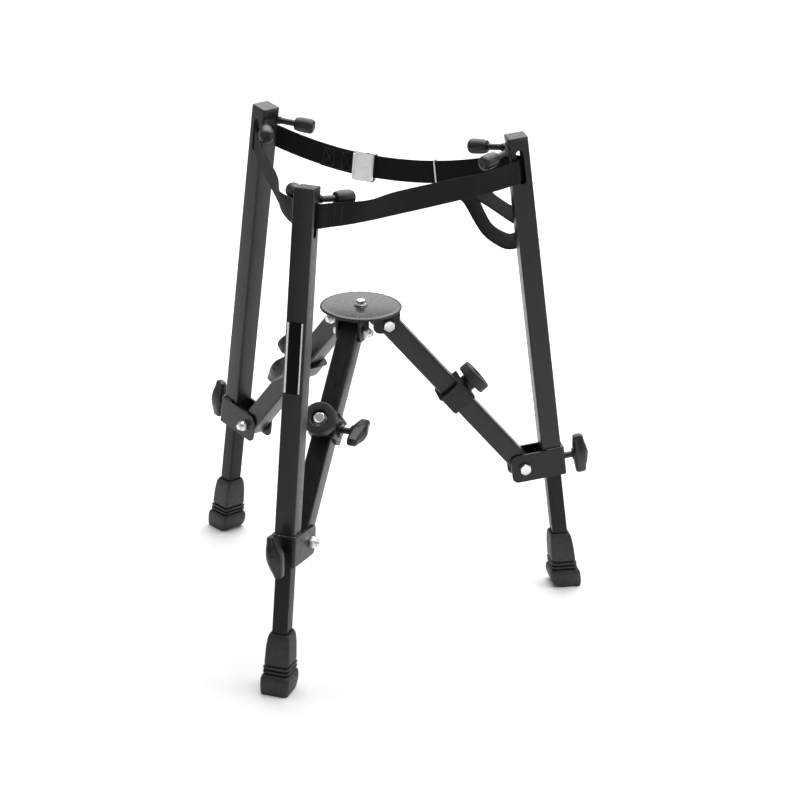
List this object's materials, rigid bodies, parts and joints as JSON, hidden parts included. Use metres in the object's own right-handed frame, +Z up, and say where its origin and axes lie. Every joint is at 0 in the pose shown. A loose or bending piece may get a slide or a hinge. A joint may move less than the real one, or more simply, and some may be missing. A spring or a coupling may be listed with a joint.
{
  "type": "folding drum stand",
  "caption": "Folding tripod stand for a hand drum: square steel legs on a hub, sliding collars with rubber bumpers, rubber-tipped prongs, webbing strap and adjustable rubber feet.",
  "frame": {"origin": "middle of the underside of the object's box, on the floor", "axes": "+Z up; the front leg stands towards -Y, the right leg towards +X +Y and the left leg towards -X +Y"},
  "size_m": [0.5166, 0.4532, 0.6026],
  "materials": {
    "powder_coat": "satin black powder coat",
    "bracket_paint": "semi-gloss black paint over bent plate and welds",
    "hub_paint": "semi-gloss black paint",
    "rubber": "matte moulded rubber",
    "tip_rubber": "smooth satin rubber",
    "knob_plastic": "satin moulded plastic",
    "cap_plastic": "matte moulded plastic",
    "zinc": "bright zinc plate",
    "bright_steel": "polished nickel plate",
    "webbing": "woven polypropylene webbing"
  },
  "bodies": {
    "front_leg": {"leg_tube_front": "powder_coat", "leg_cap_front": "cap_plastic", "leg_bracket_front": "bracket_paint", "bracket_bolt_front": "zinc", "prong_rods_front": "powder_coat", "prong_tip_a_front": "tip_rubber", "prong_tip_b_front": "tip_rubber", "strap_front": "webbing"},
    "front_arm": {"arm_tube_front": "powder_coat"},
    "front_collar": {"collar_front": "bracket_paint", "bumper_front": "rubber", "bumper_bolt_front": "zinc"},
    "front_collar_knob": {"collar_knob_front": "knob_plastic"},
    "front_leg_knob": {"leg_knob_front": "knob_plastic"},
    "front_foot": {"foot_tube_front": "powder_coat", "rubber_foot_front": "rubber"},
    "right_leg": {"leg_tube_right": "powder_coat", "leg_cap_right": "cap_plastic", "leg_bracket_right": "bracket_paint", "bracket_bolt_right": "zinc", "prong_rods_right": "powder_coat", "prong_tip_a_right": "tip_rubber", "prong_tip_b_right": "tip_rubber", "strap_right": "webbing", "strap_tail": "webbing"},
    "right_arm": {"arm_tube_right": "powder_coat"},
    "right_collar": {"collar_right": "bracket_paint", "bumper_right": "rubber", "bumper_bolt_right": "zinc"},
    "right_collar_knob": {"collar_knob_right": "knob_plastic"},
    "right_leg_knob": {"leg_knob_right": "knob_plastic"},
    "right_foot": {"foot_tube_right": "powder_coat", "rubber_foot_right": "rubber"},
    "left_leg": {"leg_tube_left": "powder_coat", "leg_cap_left": "cap_plastic", "leg_bracket_left": "bracket_paint", "bracket_bolt_left": "zinc", "prong_rods_left": "powder_coat", "prong_tip_a_left": "tip_rubber", "prong_tip_b_left": "tip_rubber", "strap_left": "webbing"},
    "left_arm": {"arm_tube_left": "powder_coat"},
    "left_collar": {"collar_left": "bracket_paint", "bumper_left": "rubber", "bumper_bolt_left": "zinc"},
    "left_collar_knob": {"collar_knob_left": "knob_plastic"},
    "left_leg_knob": {"leg_knob_left": "knob_plastic"},
    "left_foot": {"foot_tube_left": "powder_coat", "rubber_foot_left": "rubber"},
    "hub": {"hub_plate": "hub_paint", "centre_bolt": "zinc", "hub_clevis_front": "bracket_paint", "hub_clevis_right": "bracket_paint", "hub_clevis_left": "bracket_paint", "hub_bolt_front": "zinc", "hub_bolt_right": "zinc", "hub_bolt_left": "zinc"},
    "buckle": {"buckle_frame": "bright_steel"},
    "buckle_lever": {"buckle_lever": "bright_steel"},
    "keeper": {"strap_keeper": "bright_steel"}
  },
  "joints": [
    {"name": "front_arm_hinge", "type": "hinge", "parent": "front_leg", "child": "front_arm", "pos_m": [0, -0.14193, 0.16905], "axis": [1, 0, 0], "range_deg": [0, 23], "deforming": ["strap_front", "strap_right", "strap_left", "strap_tail"]},
    {"name": "hub_hinge", "type": "hinge", "parent": "front_arm", "child": "hub", "pos_m": [0, 0.03565, 0.371], "axis": [1, 0, 0], "range_deg": [-23, 0]},
    {"name": "right_arm_hinge", "type": "hinge", "parent": "hub", "child": "right_arm", "pos_m": [0.02771, 0.08365, 0.371], "axis": [-0.5, 0.866, 0], "range_deg": [0, 23]},
    {"name": "right_leg_hinge", "type": "hinge", "parent": "right_arm", "child": "right_leg", "pos_m": [0.1815, 0.17244, 0.16905], "axis": [-0.5, 0.866, 0], "range_deg": [-23, 0]},
    {"name": "left_arm_hinge", "type": "hinge", "parent": "hub", "child": "left_arm", "pos_m": [-0.02771, 0.08365, 0.371], "axis": [-0.5, -0.866, 0], "range_deg": [0, 23]},
    {"name": "left_leg_hinge", "type": "hinge", "parent": "left_arm", "child": "left_leg", "pos_m": [-0.1815, 0.17244, 0.16905], "axis": [-0.5, -0.866, 0], "range_deg": [-23, 0]},
    {"name": "buckle_slide", "type": "slide", "parent": "left_leg", "child": "buckle", "axis": [-0.9659, 0, -0.2588], "range_m": [0, 0.06406]},
    {"name": "keeper_slide", "type": "slide", "parent": "right_leg", "child": "keeper", "axis": [0.9659, 0, -0.2588], "range_m": [0, 0.05165]},
    {"name": "buckle_lever_hinge", "type": "hinge", "parent": "buckle", "child": "buckle_lever", "pos_m": [-0.02569, 0.17098, 0.5346], "axis": [0.0732, 0, 0.9973], "range_deg": [0, 90]},
    {"name": "front_collar_slide", "type": "slide", "parent": "front_arm", "child": "front_collar", "axis": [0, -0.6603, -0.751], "range_m": [-0.0614, 0.0366]},
    {"name": "front_collar_knob_turn", "type": "hinge", "parent": "front_collar", "child": "front_collar_knob", "pos_m": [0.032, -0.04782, 0.27608], "axis": [1, 0, 0], "range_deg": [0, 540]},
    {"name": "front_foot_slide", "type": "slide", "parent": "front_leg", "child": "front_foot", "axis": [0, -0.1392, -0.9903], "range_m": [-0.075, 0.12]},
    {"name": "front_leg_knob_turn", "type": "hinge", "parent": "front_leg", "child": "front_leg_knob", "pos_m": [0, -0.20709, 0.1782], "axis": [0, -0.9903, 0.1392], "range_deg": [0, 540]},
    {"name": "right_collar_slide", "type": "slide", "parent": "right_arm", "child": "right_collar", "axis": [0.5719, 0.3302, -0.751], "range_m": [-0.0695, 0.0285]},
    {"name": "right_collar_knob_turn", "type": "hinge", "parent": "right_collar", "child": "right_collar_knob", "pos_m": [0.08861, 0.15575, 0.27002], "axis": [-0.5, 0.866, 0], "range_deg": [0, 540]},
    {"name": "right_foot_slide", "type": "slide", "parent": "right_leg", "child": "right_foot", "axis": [0.1205, 0.0696, -0.9903], "range_m": [-0.075, 0.12]},
    {"name": "right_leg_knob_turn", "type": "hinge", "parent": "right_leg", "child": "right_leg_knob", "pos_m": [0.23793, 0.20502, 0.1782], "axis": [0.8576, 0.4951, 0.1392], "range_deg": [0, 540]},
    {"name": "left_collar_slide", "type": "slide", "parent": "left_arm", "child": "left_collar", "axis": [-0.5719, 0.3302, -0.751], "range_m": [-0.0479, 0.0501]},
    {"name": "left_collar_knob_turn", "type": "hinge", "parent": "left_collar", "child": "left_collar_knob", "pos_m": [-0.1083, 0.09322, 0.28618], "axis": [-0.5, -0.866, 0], "range_deg": [0, 540]},
    {"name": "left_foot_slide", "type": "slide", "parent": "left_leg", "child": "left_foot", "axis": [-0.1205, 0.0696, -0.9903], "range_m": [-0.075, 0.12]},
    {"name": "left_leg_knob_turn", "type": "hinge", "parent": "left_leg", "child": "left_leg_knob", "pos_m": [-0.23793, 0.20502, 0.1782], "axis": [-0.8576, 0.4951, 0.1392], "range_deg": [0, 540]}
  ],
  "couplings": [
    {"joint": "hub_hinge", "follows": "front_arm_hinge", "ratio": -1},
    {"joint": "right_arm_hinge", "follows": "front_arm_hinge", "ratio": 1},
    {"joint": "right_leg_hinge", "follows": "front_arm_hinge", "ratio": -1},
    {"joint": "left_arm_hinge", "follows": "front_arm_hinge", "ratio": 1},
    {"joint": "left_leg_hinge", "follows": "front_arm_hinge", "ratio": -1},
    {"joint": "buckle_slide", "follows": "front_arm_hinge", "m_per_rad": 0.15957},
    {"joint": "keeper_slide", "follows": "front_arm_hinge", "m_per_rad": 0.12867}
  ]
}
